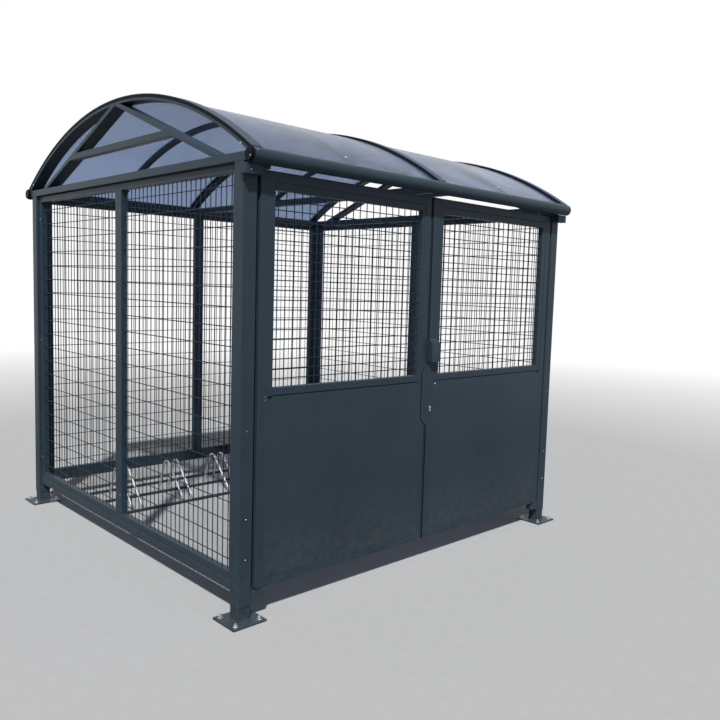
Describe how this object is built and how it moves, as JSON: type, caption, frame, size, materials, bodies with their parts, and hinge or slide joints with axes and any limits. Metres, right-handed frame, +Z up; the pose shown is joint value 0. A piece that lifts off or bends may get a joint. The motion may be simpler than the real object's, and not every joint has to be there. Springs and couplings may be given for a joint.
{
  "type": "bike shelter",
  "caption": "Arched-roof steel bike shelter with welded mesh walls, two half-sheeted mesh doors that swing outwards, and a low hoop rack inside.",
  "frame": {"origin": "on the ground, in the middle of the shelter's footprint", "axes": "+X to the right along the front, +Y from the doors to the back wall, +Z up"},
  "size_m": [2.82, 2.996, 2.7898],
  "materials": {
    "anthracite_steel": "satin anthracite powder coat",
    "smoked_sheet": "smoked clear plastic sheet",
    "galvanised_steel": "galvanised",
    "black_plastic": "matt black"
  },
  "bodies": {
    "shelter": {"front_left_post": "anthracite_steel", "front_left_foot": "anthracite_steel", "front_right_post": "anthracite_steel", "front_right_foot": "anthracite_steel", "back_left_post": "anthracite_steel", "back_left_foot": "anthracite_steel", "back_right_post": "anthracite_steel", "back_right_foot": "anthracite_steel", "left_chord": "anthracite_steel", "right_chord": "anthracite_steel", "middle_tie": "anthracite_steel", "back_beam": "anthracite_steel", "front_eave_tube": "anthracite_steel", "back_eave_tube": "anthracite_steel", "eave_tube_caps": "black_plastic", "left_base_rail": "anthracite_steel", "right_base_rail": "anthracite_steel", "back_base_rail": "anthracite_steel", "left_front_panel": "anthracite_steel", "left_back_panel": "anthracite_steel", "right_front_panel": "anthracite_steel", "right_back_panel": "anthracite_steel", "back_left_panel": "anthracite_steel", "back_right_panel": "anthracite_steel", "left_arch": "anthracite_steel", "right_arch": "anthracite_steel", "middle_arch": "anthracite_steel", "quarter_arches": "anthracite_steel", "left_truss": "anthracite_steel", "right_truss": "anthracite_steel", "left_roof_sheet": "smoked_sheet", "right_roof_sheet": "smoked_sheet", "cover_strips": "anthracite_steel", "front_head_blocks": "anthracite_steel", "pivot_blocks": "anthracite_steel", "rack_rails": "anthracite_steel", "rack_hoops": "galvanised_steel"},
    "left_door": {"left_door_frame": "anthracite_steel", "left_meeting_stile": "anthracite_steel", "left_door_mesh": "anthracite_steel", "left_door_sheet": "anthracite_steel"},
    "right_door": {"right_door_frame": "anthracite_steel", "right_meeting_stile": "anthracite_steel", "right_door_mesh": "anthracite_steel", "right_door_sheet": "anthracite_steel", "lock_tongue": "anthracite_steel", "door_pull": "anthracite_steel"}
  },
  "joints": [
    {"name": "left_door_hinge", "type": "hinge", "parent": "shelter", "child": "left_door", "pos_m": [-1.232, -1.375, 1.2], "axis": [0, 0, -1], "range_deg": [0, 95]},
    {"name": "right_door_hinge", "type": "hinge", "parent": "shelter", "child": "right_door", "pos_m": [1.232, -1.375, 1.2], "axis": [0, 0, 1], "range_deg": [0, 95]}
  ]
}
